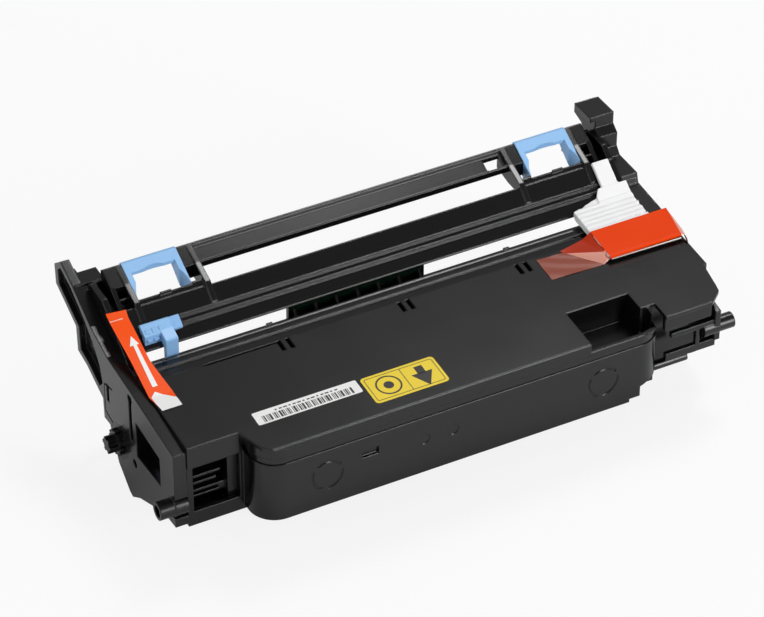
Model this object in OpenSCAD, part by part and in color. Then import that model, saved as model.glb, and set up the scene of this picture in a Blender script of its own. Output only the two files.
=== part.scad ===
// Printer drum unit: the cartridge that carries the photoconductor drum, its charger, its cleaning
// blade and the waste toner chamber.
// X runs along the drum, Y to the rear, Z up. Lengths are in millimetres.
// The pieces are laid out from the middle of the drum (X 0), the front face of the waste chamber
// (Y 0) and the resting plane (Z 0). seated() then moves them to the middle of the base.

/* [Body] */
// Room between each end of the drum tube and the end plate, for a flange and its gear
end_room = 18; // [17:0.5:20]
// Thickness of the left end plate
left_t = 7; // [6:0.5:10]
// Thickness of the right end plate over its ribs
right_t = 11; // [9:0.5:14]
// Wall thickness of the mouldings
wall = 2.4; // [1.8:0.2:3]
// Thickness of the chassis side walls
side_t = 3; // [2:0.5:4]

/* [Waste chamber] */
// Width of the open bay at each end of the chamber's front
bay_w = 30; // [28:1:35]
// Depth of the end bays behind the chamber's front face
bay_y = 18.6; // [16:0.2:20]
// Height of the chamber's underside over the table
box_low = 20; // [18:0.5:21]
// Height of the seam between chamber and cover
seam_z = 54.5; // [50:0.5:57]
// Corner radius of the chamber front
corner_r = 14; // [8:1:16]

/* [Top cover] */
// Height of the cover's front edge
cover_z = 66.4; // [65.6:0.1:68]
// Thickness of the cover
cover_t = 2.2; // [1.8:0.1:2.8]
// Rear edge of the cover
cover_rear_y = 70; // [66:0.5:71]
// Length and depth of the deep notch at the cover's right front
notch = [44, 25]; // [10:1:60]

/* [Drum] */
// Outer diameter of the photoconductor drum
drum_d = 30; // [28:0.5:30.5]
// Length of the drum tube
drum_len = 250; // [220:1:300]
// Wall of the aluminium tube
drum_wall = 1; // [0.8:0.1:1.5]
// Diameter of the steel pivot pin in the drum's right flange
pin_d = 6; // [5:0.5:7]
// Radial running clearance of turning pieces
run_gap = 0.05; // [0.02:0.01:0.08]
// Outer diameter of the toothed drive coupling
coupling_d = 14; // [12:0.2:17.4]

/* [Charger] */
// Inner width of the charger shield
shield_w = 13; // [11:0.5:14]
// Height of the charger shield
shield_h = 10; // [8:0.5:10.5]
// Thickness of the shield's steel sheet
sheet_t = 0.6; // [0.5:0.1:0.8]
// Distance of the charger grid from the drum's surface
grid_gap = 1.6; // [1.2:0.1:2]

/* [Grips] */
// Distance of each finger grip's middle from the end plate
grip_in = 32; // [31:0.1:33.5]
// Outer width of a finger grip
grip_w = 29.6; // [28:0.2:30]
// Width of the block between the wide opening of the rear beam and a finger grip
grip_block = 8.8; // [8:0.2:12]

/* [Drive] */
// Module of the gear teeth
gear_m = 1; // [1:1:1]
// Width of the gears
gear_t = 7; // [5:0.5:8]
// Diameter of the waste auger
auger_d = 13; // [10:0.5:14]
// Pitch of the waste auger's flight
auger_pitch = 24; // [20:1:30]

/* [Hidden] */
$fn = 64;
// Places along the drum that follow its length: inner face of the end plates, their outer faces,
// ends of the chamber front, of the trough, of the gears, rails, shield and blade
inner_x = drum_len / 2 + end_room;
left_x = inner_x + left_t;
right_x = inner_x + right_t;
box_half = inner_x - bay_w;
trough_half = drum_len / 2 - 7;
gear_x = drum_len / 2 + 4.8;
shield_half = drum_len / 2 - 0.5;
rail_half = inner_x - 12;
blade_half = trough_half - 2;
grip_x = inner_x - grip_in;
gap_half = grip_x - grip_w / 2 - grip_block;
// Place of the outer cover clips along the drum
clip_x = box_half - 46;
// Numbers of teeth: drum gear, idler and auger gear, all in mesh
drum_teeth = 32;
idler_teeth = 28;
auger_teeth = 18;
// Middle of the drum in the Y, Z section
drum_yz = [83, 27];
drum_r = drum_d / 2;
// Slope of the cover from its front edge
cover_slope = 0.06;
// Sloping rail deck: its lower front edge and its upper rear edge
deck_a = [88, 72.4];
deck_b = [106.8, 86.2];
deck_angle = atan2(deck_b[1] - deck_a[1], deck_b[0] - deck_a[0]);
deck_len = norm(deck_b - deck_a);
// Rear beam: its front edge, its rear edge and the height of both
beam_a = [118.5, 92.1];
beam_b = [129, 97];
beam_rear = beam_b[0] + 1.5;
// Slit between the front shelf and the rail deck
slit_y = 83;
shelf_z = 69.3;
// Foot of the unit: the two side walls reach the table between these places
foot_y = [60, 98];
// Rear tip of the left end plate and the reach of the side bosses
tip = [156.3, 87.7];
boss_out = 8;
guide_boss = [22, 31];
guide_boss_r = 4.8;
guide_bore_r = 3.2;
right_boss = [6, 46.5];
right_boss_r = 4.2;
right_boss_out = 1;
boss_root = 0.4;
coupling_out = 7.6;
ring_out = 3;
nose_d = 9;
// Thickness of the left plate's rear arm and the height of the tab beside it
arm_t = 4.8;
tab_z = 88.4;
tab_y = [133, 143.3];
// Wall that closes the chamber behind the open bays, and the end of the beam's trough
closing_y = 22;
beam_half = inner_x - 7;
// Rails of the wire cleaner, measured up the deck
rail_s = [7.6, 11.6];
rail_w = 1.4;
rail_h = 1.1;
slide_gap = 0.3;
// Home place and size of the wire cleaner
slider_x = [-rail_half - 0.2, -rail_half + 21];
stem_x = [slider_x[0] + 8.8, slider_x[0] + 15.4];
arm_y = [84.3, 87.3];
// Charger: its lean to the rear and its layers outwards from the drum's middle
charger_lean = 28.6;
grid_v = drum_r + grid_gap;
grid_t = 0.3;
shield_v = grid_v + grid_t;
wire_v = shield_v + shield_h * 0.55;
// Cleaning blade: where its edge meets the drum
blade_angle = 150;
blade_gap = 0.3;
screw_r = 1.5;
// Gear train: directions of the idler from the drum and of the auger from the idler
idler_dir = 165;
auger_dir = 192;
backlash = 0.5;
drum_gear_r = gear_m * drum_teeth / 2;
idler_gear_r = gear_m * idler_teeth / 2;
auger_gear_r = gear_m * auger_teeth / 2;
idler_yz = drum_yz + (drum_gear_r + idler_gear_r) * [cos(idler_dir), sin(idler_dir)];
auger_yz = idler_yz + (idler_gear_r + auger_gear_r) * [cos(auger_dir), sin(auger_dir)];
auger_shaft_r = 2.5;
idler_pin_r = 3;
// Bottom middle of everything, which seated() moves to the origin
mid_x = (right_x + right_boss_out - left_x - boss_out) / 2;
front_y = -0.8;
mid_y = (tip[0] + front_y) / 2;

// Height of the cover's top face and of its underside
function cover_top(y) = cover_z + cover_slope * y;
function cover_under(y) = cover_top(y) - cover_t;
function polar(r, a) = [r * cos(a), r * sin(a)];

module seated() translate([-mid_x, -mid_y, 0]) children();

// A Y, Z section carried along the drum from x0 to x1
module along(x0, x1) translate([x0, 0, 0]) rotate([90, 0, 90]) linear_extrude(x1 - x0) children();

// A block between two corners
module block(a, b) translate(a) cube(b - a);

// A round bar along X, and its bored form
module bar(yz, r, x0, x1) along(x0, x1) translate(yz) circle(r);
module tube(yz, r, bore, x0, x1) along(x0, x1) translate(yz) difference() {
    circle(r);
    circle(bore);
}

// Both ends alike: the child at +X and its mirror image at -X
module both_ends() for (s = [0, 1]) mirror([s, 0, 0]) children();

// Places in the section of the sloping deck: s runs up the deck, n stands off it
module on_deck() translate(deck_a) rotate(deck_angle) children();
function up_deck(s, n) = deck_a + s * [cos(deck_angle), sin(deck_angle)] + n * [-sin(deck_angle), cos(deck_angle)];
// Places in the section of the charger: v runs outwards from the drum's middle
module at_charger() translate(drum_yz) rotate(-charger_lean) children();

// Spur gear outline with a tooth middle at the angle start
function inv(a) = tan(a) * 180 / PI - a;
function tooth_half(r, teeth) =
    let (rp = gear_m * teeth / 2, rb = rp * cos(20), a = acos(min(1, rb / max(r, rb))))
    90 / teeth - backlash / 2 / rp * 90 / PI + inv(20) - inv(a);
module gear_outline(teeth, start) {
    rp = gear_m * teeth / 2;
    root = rp - 1.25 * gear_m;
    flank = [root, rp - 0.4 * gear_m, rp + 0.3 * gear_m, rp + 0.95 * gear_m];
    polygon([for (t = [0:teeth - 1], k = [0:7])
        let (a = start + t * 360 / teeth, i = k < 4 ? k : 7 - k, side = k < 4 ? -1 : 1)
        polar(flank[i], a + side * tooth_half(flank[i], teeth))]);
}
// Tooth places: each gear has a gap where the tooth of the one before it points
idler_start = idler_dir + 180 + 180 / idler_teeth;
idler_pitch = 360 / idler_teeth;
idler_rest = auger_dir - idler_start;
idler_over = idler_rest - idler_pitch * floor(idler_rest / idler_pitch);
auger_start = auger_dir + 180 + idler_over * idler_gear_r / auger_gear_r + 180 / auger_teeth;

// Section of the open trough under the cleaning blade, and its inside
trough = [[0, seam_z], [0, box_low + 2], [2, box_low], [48, box_low], [60, box_low + 2.4], [67, box_low + 10.4],
    [65, box_low + 11.8], [58.6, box_low + 4.8], [47.8, box_low + wall], [wall, box_low + wall], [wall, seam_z]];
// Outline of the chassis side walls, with the foot that keeps the drum off the table
side_wall = [[bay_y, box_low + 1], [bay_y, cover_under(bay_y)], [cover_rear_y, cover_under(cover_rear_y)],
    [cover_rear_y, shelf_z - 2.4], [slit_y + 1.5, shelf_z - 2.4], [slit_y + 1.5, 62], [104, 62], [104, 44],
    [foot_y[1] + 3, 34], [foot_y[1], 0], [foot_y[0], 0], [50, 13], [34, box_low]];

// Waste chamber, side walls, shelf and under-ribs in one moulding
module main_chassis() color("#222326") difference() {
    union() {
        difference() {
            along(-trough_half, trough_half) polygon(trough);
            both_ends() block([box_half - corner_r, -1, 0], [trough_half + 1, closing_y, seam_z + 1]);
        }
        both_ends() along(trough_half, trough_half + wall) polygon([[closing_y, box_low], [closing_y, 60], [62, 60],
            [62, 34], [58, 30], [58, box_low]]);
        both_ends() along(inner_x - side_t, inner_x) polygon(side_wall);
        chamber_front();
        rear_shelf();
        both_ends() block([box_half - wall, closing_y - 0.4, box_low], [trough_half + wall, closing_y + wall, seam_z]);
        left_bay();
        right_bay();
        under_ribs();
    }
    front_marks();
    bar(drum_yz, 10, -inner_x - 1, -inner_x + side_t + 1);
    bar(drum_yz, pin_d / 2, inner_x - side_t - 1, inner_x + 1);
    bar(auger_yz, auger_shaft_r + run_gap, -inner_x - 1, gear_x);
    bar(idler_yz, idler_pin_r, inner_x - side_t - 1, inner_x + 1);
    blade_screw_places() cylinder(h = 5, r = screw_r);
    block([-inner_x - 1, 32, 38], [-inner_x + side_t + 1, 64, 54]);
}

// Front of the chamber, from rounded corner to rounded corner
module chamber_front() difference() {
    union() {
        translate([0, 0, box_low]) linear_extrude(seam_z - box_low) difference() {
            front_plan(0);
            front_plan(wall);
        }
        translate([0, 0, box_low]) linear_extrude(wall) front_plan(0);
        intersection() {
            corner_step(wall);
            translate([0, 0, box_low]) linear_extrude(seam_z - box_low) front_plan(0);
        }
    }
    corner_step(0);
}
// Sloping step under the right corner of the chamber front
module corner_step(out) translate([0, 10 + out, 0]) rotate([90, 0, 0]) linear_extrude(12 + out)
    polygon([[box_half - 20 - out, box_low - 2], [box_half - 20 - out, 26.1 + out], [box_half - 9.6, 29.2 + out],
        [box_half + 2, 29.7 + out], [box_half + 2, box_low - 2]]);
module front_plan(inset) intersection() {
    union() {
        for (s = [-1, 1]) translate([s * (box_half - corner_r), corner_r]) circle(corner_r - inset);
        translate([-box_half + inset, corner_r]) square([2 * (box_half - inset), 20]);
        translate([-box_half + corner_r, inset]) square([2 * (box_half - corner_r), 20]);
    }
    translate([-box_half, 0]) square([2 * box_half, 22]);
}
// Moulded rings, the latch pocket and two small marks on the front face
module front_marks() {
    for (s = [-1, 1]) translate([s * (box_half - 36), 0.5, 39]) rotate([90, 0, 0]) difference() {
        cylinder(h = 3, r = 8.8);
        translate([0, 0, -1]) cylinder(h = 5, r = 7.6);
        for (a = [20, 140, 260]) rotate(a) translate([5, -1.5, -1]) cube([5, 3, 5]);
    }
    block([-58, -1, 42], [-49, 1.6, 46.5]);
    for (x = [-24, -8]) translate([x, 0.4, 41]) rotate([90, 0, 0]) cylinder(h = 2, r = 3.2);
}
// Shelf behind the cover, the wall that carries the blade, and the clip ears
module rear_shelf() {
    along(-inner_x, inner_x) polygon([[cover_rear_y, shelf_z - 2.4], [cover_rear_y, shelf_z - 0.2],
        [cover_rear_y + 6, shelf_z - 0.2], [cover_rear_y + 6, shelf_z + 0.8], [cover_rear_y + 7.4, shelf_z + 0.8],
        [cover_rear_y + 7.4, shelf_z - 0.2], [slit_y - 1.4, shelf_z - 0.2], [slit_y - 1, shelf_z],
        [slit_y, shelf_z], [slit_y, shelf_z - 2.4]]);
    along(-trough_half - wall, trough_half + wall) polygon([[61, 50], [61, shelf_z - 3], [64, shelf_z - 2.4],
        [cover_rear_y + 2, shelf_z - 2.4], [cover_rear_y + 2, shelf_z - 4.6], [64.6, shelf_z - 4.6], [64.6, 50]]);
    for (x = [-clip_x, clip_x]) block([x - 1.6, slit_y - 0.5, shelf_z - 2], [x + 1.6, slit_y + 0.7, shelf_z + 1.4]);
}
// Face of a bay beside the chamber front
module bay_face() {
    block([box_half, bay_y, box_low + 2], [inner_x, bay_y + wall, cover_under(bay_y)]);
    block([box_half - wall, bay_y, box_low + 2], [box_half + 1, bay_y + wall, seam_z]);
}
// Left bay: an open frame with a stair of ribs behind it
module left_bay() {
    mirror([1, 0, 0]) difference() {
        bay_face();
        block([box_half + 2, bay_y - 1, 26.3], [inner_x - 2, bay_y + wall + 1, 54.6]);
    }
    block([-inner_x, bay_y, box_low - 2.2], [-box_half + 1, bay_y + 6, box_low + 2.2]);
    for (r = [[42, 20], [38, 17.6], [33.3, 24.2], [29.9, 25.2]])
        block([-inner_x + 1, bay_y + 5.4, r[0]], [-inner_x + r[1], bay_y + 12, r[0] + 1.6]);
    block([-trough_half - wall - 4, bay_y + 5.4, 29.9], [-trough_half, bay_y + 12, 34.9]);
}
// Right bay: closed, with a low round stub that stands off the chamber's corner
module right_bay() {
    bay_face();
    bar([8, 31], 2.5, box_half - 3.4, box_half + 17);
}
// Ribs under the chamber that guide the sheet and steady the unit on the table
module under_ribs() for (k = [-4:4]) let (x = k * (trough_half - 18) / 4) along(x - 0.8, x + 0.8)
    polygon([[16, box_low + 1], [26, 4], [31, 0], [38, 0], [46, 5], [58, box_low - 2], [60, box_low + 3]]);

// Cover plan: front between the bays, left step, right end and the deep notch
cover_plan = [[-inner_x, bay_y - 1], [-box_half - 3, bay_y - 1], [-box_half + 3, 3], [-box_half + 7, front_y],
    [box_half - notch[0], front_y], [box_half - notch[0], notch[1]], [box_half - 8.5, notch[1]],
    [box_half - 8.5, notch[1] / 2], [box_half, notch[1] / 2], [box_half, 1], [inner_x - 3, 1], [inner_x + 4.2, 7.2],
    [inner_x + 5, 11], [inner_x + 8, 30], [inner_x + 8, 62], [inner_x, 62], [inner_x, cover_rear_y], [-inner_x, cover_rear_y]];

module top_cover() color("#2d2e31") difference() {
    union() {
        cover_plate();
        cover_skirt();
        notch_well();
    }
    for (x = [-clip_x, 0, clip_x]) for (s = [-1, 1])
        block([x + s * 2.4 - 1.1, cover_rear_y - 9, 60], [x + s * 2.4 + 1.1, cover_rear_y + 1, 80]);
    block([-box_half + 3, cover_rear_y - 2.6, 60], [-clip_x - 2, cover_rear_y - 1.2, 80]);
}
module cover_plate() intersection() {
    translate([0, 0, 50]) linear_extrude(40) polygon(cover_plan);
    along(-left_x, right_x) polygon([[front_y, cover_under(front_y)], [front_y, cover_top(front_y) - 0.5],
        [front_y + 0.5, cover_top(front_y + 0.5)], [cover_rear_y - 1, cover_top(cover_rear_y - 1)],
        [cover_rear_y, cover_top(cover_rear_y) - 1], [cover_rear_y, cover_under(cover_rear_y)]]);
}
// Height of the fine step in the skirt
skirt_step = seam_z + 4.4;
module skirt_ring(inset, z0, z1) translate([0, 0, z0]) linear_extrude(z1 - z0) difference() {
    skirt_plan(inset);
    skirt_plan(inset + wall);
    translate([-trough_half, 21]) square([2 * trough_half, 10]);
}
// Skirt that hangs round the front: over the chamber, over each bay and down to the notch
module cover_skirt() {
    difference() {
        intersection() {
            union() {
                skirt_ring(0, skirt_step, cover_under(0) + 1.2);
                skirt_ring(1, seam_z, skirt_step + 0.4);
            }
            along(-left_x, right_x) polygon([[-5, 40], [-5, cover_top(-5) - 0.4], [60, cover_top(60) - 0.4], [60, 40]]);
        }
        block([box_half - notch[0], -5, 61], [box_half + 1, 14, 80]);
        block([box_half - notch[0], 3, 40], [box_half + 6, 30, 80]);
    }
    block([-inner_x, bay_y - 1, seam_z], [-box_half - 2, bay_y - 0.05, cover_under(bay_y)]);
    block([box_half, 1.8, cover_under(1) - 7.4], [inner_x - 3, 1.8 + wall, cover_under(1) + 0.1]);
}
// Well below the notch: a floor with walls on three sides
module notch_well() {
    x = box_half - notch[0];
    difference() {
        intersection() {
            translate([0, 0, 49]) linear_extrude(17) {
                front_plan(wall + 0.3);
                translate([0, corner_r]) square([box_half - wall - 0.3, 20]);
            }
            block([x - wall, wall + 0.3, 49], [box_half - wall - 0.3, notch[1] + wall, 66]);
        }
        block([x, -1, 49 + wall], [box_half - 8.5, notch[1], 80]);
        block([x, -1, 49 + wall], [box_half - 2 * wall, notch[1] / 2, 80]);
    }
}
module skirt_plan(inset) translate([0, -0.6]) front_plan(inset);
// Outline of the left end plate
left_outline = [[bay_y, 64.5], [66, 69.2], [94.7, 71.3], [113.8, 77], [134, 88.1], [148.3, 93.9], tip, [155.7, 75.7],
    [132.4, 64.7], [131.7, 49.8], [120.9, 47.9], [108, 42.4], [102.3, 40.2], [101.8, 28.3], [95, 28.8], [86.2, 10.8],
    [73.9, 1.1], [70.5, 0], [61.5, 6], [49, 11.6], [32, 19], [bay_y, 20], [bay_y, 25], [25, 26], [25, 36], [bay_y, 37]];
// Sunken guide way in the plate's rear arm
guide_way = [[148.5, 90], [152.3, 86.5], [151.8, 78], [128.6, 67], [128, 53], [119, 51.2], [105.5, 45.6],
    [101.6, 50], [104, 59], [111, 68.5], [122.5, 77.5], [136.5, 86]];

module left_end_plate() color("#3a3b3e") difference() {
    union() {
        difference() {
            along(-left_x, -inner_x) polygon(left_outline);
            block([-left_x + arm_t, tab_y[0], tab_z], [-inner_x + 1, 160, 100]);
            block([-left_x + arm_t, tab_y[1], 60], [-inner_x + 1, 160, 100]);
        }
        bar(guide_boss, guide_boss_r, -left_x - boss_out, -left_x);
        bar(guide_boss, guide_boss_r + boss_root, -left_x, -inner_x);
        block([-left_x + 1, tab_y[0], tab_z - 2], [-inner_x + 9.7, tab_y[1], tab_z]);
        block([-inner_x - 1, tab_y[1] - 1.7, 76], [-inner_x + 9.7, tab_y[1], tab_z - 1]);
        block([-left_x + arm_t - 1, tab_y[1] - 1.3, tab_z - 2], [-left_x + arm_t + 2, tab_y[1] + 3.7, tab_z]);
    }
    bar(guide_boss, guide_bore_r, -left_x - boss_out - 1, -inner_x - 2);
    along(-left_x - 1, -left_x + 3.4) polygon(guide_way);
    along(-left_x - 1, -inner_x + 1) polygon([[34.7, 34], [34.7, 51.5], [62.6, 53.5], [62.6, 32]]);
    along(-left_x - 1, -left_x + 2) { translate([66.5, 38]) square([3.5, 26]); translate([68.25, 64]) circle(2.6); }
    along(-left_x - 1, -left_x + 3) { translate([94, 43]) square([3, 11]); }
    bar([65.6, 25.3], 2.4, -left_x - 1, -left_x + 3);
    along(-left_x - 1, -left_x + 0.8) difference() {
        polygon([[90, 32], [100, 34], [100, 52], [90, 55]]);
        polygon([[89, 33], [99.2, 35], [99.2, 51.2], [89, 54]]);
    }
    bar(drum_yz, 10, -left_x - 1, -inner_x + 1);
    along(-left_x + wall, -inner_x + 1) {
        polygon([[73, 45], [73, 66.5], [91.5, 67.5], [91.5, 45.5]]);
        difference() {
            polygon([[38, 21], [38, 30], [58, 30], [96, 30], [84.6, 12.6], [73, 3.6], [62, 8.4], [50, 14.2]]);
            translate(drum_yz) circle(12.4);
            translate([65.6, 25.3]) circle(4.4);
            for (y = [48, 60]) translate([y - 0.8, 0]) square([1.6, 40]);
        }
    }
}

// Outline of the right end plate: the same foot, then a stepped horn at the rear
right_outline = [[30, cover_under(30)], [62, cover_under(62)], [62, cover_top(62)], [cover_rear_y, cover_top(cover_rear_y)],
    [98.6, 72.6], [100.3, 78], [118, 78], [121.5, 82], [121.5, 90], [126, 93.5],
    [126, 100.4], [142, 100], [147.5, 96], [147.5, 90.5], [140, 88.5], [132.4, 70], [131.7, 49.8], [120.9, 47.9], [108, 42.4],
    [102.3, 40.2], [101.8, 28.3], [95, 28.8], [86.2, 10.8], [73.9, 1.1], [70.5, 0], [61.5, 6], [49, 11.6],
    [32, 19], [22, 24], [22, 40], [30, 44]];

module right_end_plate() color("#303134") difference() {
    union() {
        along(inner_x, right_x) polygon(right_outline);
        bar(right_boss, right_boss_r, inner_x + 3, right_x + right_boss_out);
        bar(right_boss, right_boss_r + boss_root, inner_x - 6, inner_x + 3);
        block([box_half + 5, 3, 49.5], [inner_x + 1, 5.4, 52.5]);
        block([box_half + 2.2, 3, 36], [inner_x + 1, 5.4, 40.4]);
        block([inner_x - 10.5, 3, 39], [inner_x - 8.4, 5.4, 50]);
        along(inner_x - 3, inner_x + 1) polygon([[126, 97.6], [126, 100.4], [142, 100], [142, 97.6]]);
        along(inner_x, inner_x + 3) polygon([[2, 40], [2, 58], [30, 63], [30, 30], [12, 32]]);
        bar([20, 30], 3, inner_x, right_x - 4);
    }
    bar(right_boss, 2.6, right_x - 8, right_x + 2);
    along(inner_x + 3, right_x + 1) {
        right_pockets();
        polygon(guide_way);
    }
    bar(drum_yz, pin_d / 2, inner_x - 1, right_x - wall);
}
// Pockets between the ribs of the right end plate, kept clear of the drum pin's boss
module right_pockets() difference() {
    polygon([[34, 46], [34, 62], [66, 66.4], [92, 69.6], [98, 66], [98, 44], [92, 33], [84, 14], [72, 6], [52, 14.5], [34, 22]]);
    translate(drum_yz) circle(pin_d / 2 + 4);
    for (y = [50, 66, 82]) translate([y - 0.8, 0]) square([1.6, 80]);
}

// Rear handle beam, rail deck, pocket walls and end trays in one moulding
module upper_frame() color("#1d1e20") difference() {
    union() {
        along(-inner_x, inner_x) deck_section();
        along(-rail_half, rail_half) on_deck() for (s = rail_s) translate([s, 0]) square([rail_w, 0.4 + rail_h]);
        along(-beam_half, beam_half) beam_section();
        both_ends() {
            along(gap_half, gap_half + 3) web_section(99);
            along(gap_half, grip_x - grip_w / 2) polygon([[beam_a[0], 84], beam_a, beam_b, [beam_rear, 96], [beam_rear, 84]]);
            along(grip_x + grip_w / 2, grip_x + grip_w / 2 + 3) web_section(99);
            end_block();
            end_web();
            pocket_floor();
        }
    }
    both_ends() block([grip_x - grip_w / 2, 109.4, 60], [grip_x + grip_w / 2, 140, 120]);
    along(gap_half - 10.9, gap_half - 1.9) polygon([[119.3, 84], [119.3, 110], [127.2, 110], [127.2, 84]]);
}
// Hollow block at the beam's end with a lip pocket in front of it, and the low pit beside it
module end_block() {
    along(grip_x + grip_w / 2, beam_half) {
        polygon([beam_a + [0, -1.2], beam_a, beam_b, [beam_rear, 96], [beam_rear, 82], [beam_rear - 1.6, 82],
            [beam_rear - 1.6, 94.4], beam_b + [-0.6, -1.6]]);
        polygon([[106.8, 82], [106.8, 84], [beam_rear, 84], [beam_rear, 82]]);
        polygon([[113.2, 83], [113.2, 88], [114.4, 88], [114.4, 83]]);
    }
    along(beam_half - wall, beam_half) polygon([[106.8, 80], [106.8, 83.2], [113.2, 88], beam_a, beam_b, [beam_rear, 96],
        [beam_rear, 80]]);
    along(beam_half - 1, inner_x - side_t + 1) {
        polygon([[106.8, 80], [106.8, 82], [beam_rear, 82], [beam_rear, 80]]);
        polygon([[beam_rear - 1.6, 81], [beam_rear - 1.6, 90.6], [beam_rear, 90.6], [beam_rear, 81]]);
    }
}
// Sloping deck with a hooked rear lip and the two cleaner rails
module deck_section() polygon([up_deck(0, -0.2), up_deck(0.6, 0.4), up_deck(deck_len, 0.4), deck_b + [0.6, -0.2],
    deck_b + [0.6, -4.4], deck_b + [-1.2, -4.4], up_deck(deck_len - 2.6, -wall), up_deck(3, -wall), up_deck(0.3, -1)]);
// Shallow trough section of the rear beam
module beam_section() polygon([beam_a + [0, -3.3], beam_a, beam_a + [1.2, 0.56], beam_a + [1.6, -1], beam_b + [-1.6, -2.6],
    beam_b + [-1, -0.46], beam_b, [beam_rear, 96], [beam_rear, 91.6], beam_b + [-1.2, -4.9], beam_a + [1.6, -3.3]]);
// Side wall of a pocket, from the rails up to the beam
module web_section(y0) polygon([[y0, 78.6], [y0, 81.4], [106.8, 88.6], beam_a + [0, 0.5], [beam_b[0], beam_b[1]],
    [beam_rear, 96], [beam_rear, 84], [beam_a[0], 82], [107, 82]]);
// Floor of a grip pocket in front of the opening, with its small catch
module pocket_floor() {
    along(gap_half + 3, grip_x + grip_w / 2) polygon([[99.6, 80.6], [109.4, 88], [110.4, 88.4], [110.4, 84.4], [107, 82], [104, 82]]);
    block([grip_x - 3, 108.6, 86.5], [grip_x + 3, 111, 88.9]);
}
// Web at each end that stands on the chassis side wall and carries deck and beam
module end_web() along(inner_x - side_t, inner_x) polygon([[slit_y + 1.5, 62], [slit_y + 1.5, 69.5], deck_a + [0, -0.3],
    deck_b + [0, -0.3], [114, 91], [128, 91], [beam_rear, 89.6], [beam_rear, 66], [112, 62]]);

// Guide behind the drum with a raised middle wall
module rear_guide() color("#26272a") {
    along(-inner_x, inner_x) polygon([[109, 31], [109, 33.6], [120, 35.4], [123, 35.4], [123, 33], [120, 33], [111, 31]]);
    along(-39, 39) polygon([[119, 33.2], [119, 47], [122, 47], [122, 33.2]]);
    for (x = [-36:12:36]) along(x - 0.8, x + 0.8) polygon([[110, 33.6], [119, 44], [119, 34]]);
    both_ends() along(inner_x - side_t, inner_x) polygon([[109, 31], [106, 44], [106, 60], [118, 60], [123, 35.4], [123, 33]]);
}

// U-shaped finger grip: a rear bar and two tall arms that lean forward and down
module finger_grip(x) color("#9cc8f0") difference() {
    along(x - grip_w / 2, x + grip_w / 2) polygon([[110.6, 82.8], [110.6, 88.6], [beam_a[0], beam_a[1] + 0.6],
        [beam_b[0] - 4, beam_b[1] - 1], beam_b + [-0.8, 0.6], [beam_rear - 0.2, beam_b[1]], [beam_rear, 91.6],
        [127, 88.6], [116.4, 80.8], [112.4, 81.4]]);
    along(x - grip_w / 2 + 3, x + grip_w / 2 - 3) polygon([[100, 70], [100, 120], [122.8, 120], [122.8, 93.2],
        [125.6, 91.8], [134, 91.8], [134, 70]]);
    translate([x, 109.6, 60]) cylinder(h = 60, r = grip_arch);
}
// Radius of the arched front edge of the grip's bar
grip_arch = 14.4;
module left_grip() finger_grip(-grip_x);
module right_grip() finger_grip(grip_x);

// Photoconductor drum: the coated tube, the drive flange and the gear flange
module drum_tube() color("#5f8f6a") tube(drum_yz, drum_r, drum_r - drum_wall, -drum_len / 2, drum_len / 2);
module drive_flange() color("#1b1b1d") {
    bar(drum_yz, drum_r - drum_wall, -drum_len / 2, -drum_len / 2 + 8);
    bar(drum_yz, drum_r, -drum_len / 2 - 2, -drum_len / 2);
    bar(drum_yz, 7, -left_x, -drum_len / 2 - 2);
    along(-left_x - ring_out, -left_x) toothed_ring(coupling_d, 12);
    along(-left_x - coupling_out, -left_x - ring_out) toothed_ring(nose_d, 6);
}
// Section of a ring with blunt teeth round it
module toothed_ring(d, teeth) translate(drum_yz) {
    circle(d / 2 - 1.2);
    for (t = [0:teeth - 1]) rotate(t * 360 / teeth) translate([d / 2 - 2, -0.9]) square([2, 1.8]);
}
module gear_flange() color("#d8d8d4") difference() {
    union() {
        bar(drum_yz, drum_r - drum_wall, drum_len / 2 - 8, drum_len / 2);
        bar(drum_yz, drum_r, drum_len / 2, gear_x);
        along(gear_x, gear_x + gear_t) translate(drum_yz) gear_outline(drum_teeth, idler_dir);
    }
    bar(drum_yz, pin_d / 2 + run_gap, drum_len / 2 - 9, gear_x + gear_t + 1);
}
module drum_pin() color("#c9ccd0") bar(drum_yz, pin_d / 2, drum_len / 2 - 7, right_x - wall);
module drive_bush() color("#d9d3c2") tube(drum_yz, 10, 7 + run_gap, -left_x, -inner_x + side_t);

// Idler gear on its own pin, and the waste auger with its gear
module idler_gear() color("#e6e4da") along(gear_x, gear_x + gear_t) translate(idler_yz) difference() {
    gear_outline(idler_teeth, idler_start);
    circle(idler_pin_r + run_gap);
}
module idler_pin() color("#c9ccd0") {
    bar(idler_yz, idler_pin_r, gear_x - 0.3, inner_x);
}
module waste_auger() color("#e9e7e0") {
    bar(auger_yz, auger_shaft_r, -inner_x + 0.5, gear_x);
    translate([-trough_half + 4, auger_yz[0], auger_yz[1]]) rotate([90, 0, 90])
        linear_extrude(2 * trough_half - 8, twist = -360 * (2 * trough_half - 8) / auger_pitch, slices = 110, segments = 4, $fn = 0)
            translate([1.5, -0.9]) square([auger_d / 2 - 1.5, 1.8]);
    along(gear_x, gear_x + gear_t) translate(auger_yz) gear_outline(auger_teeth, auger_start);
}

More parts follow.
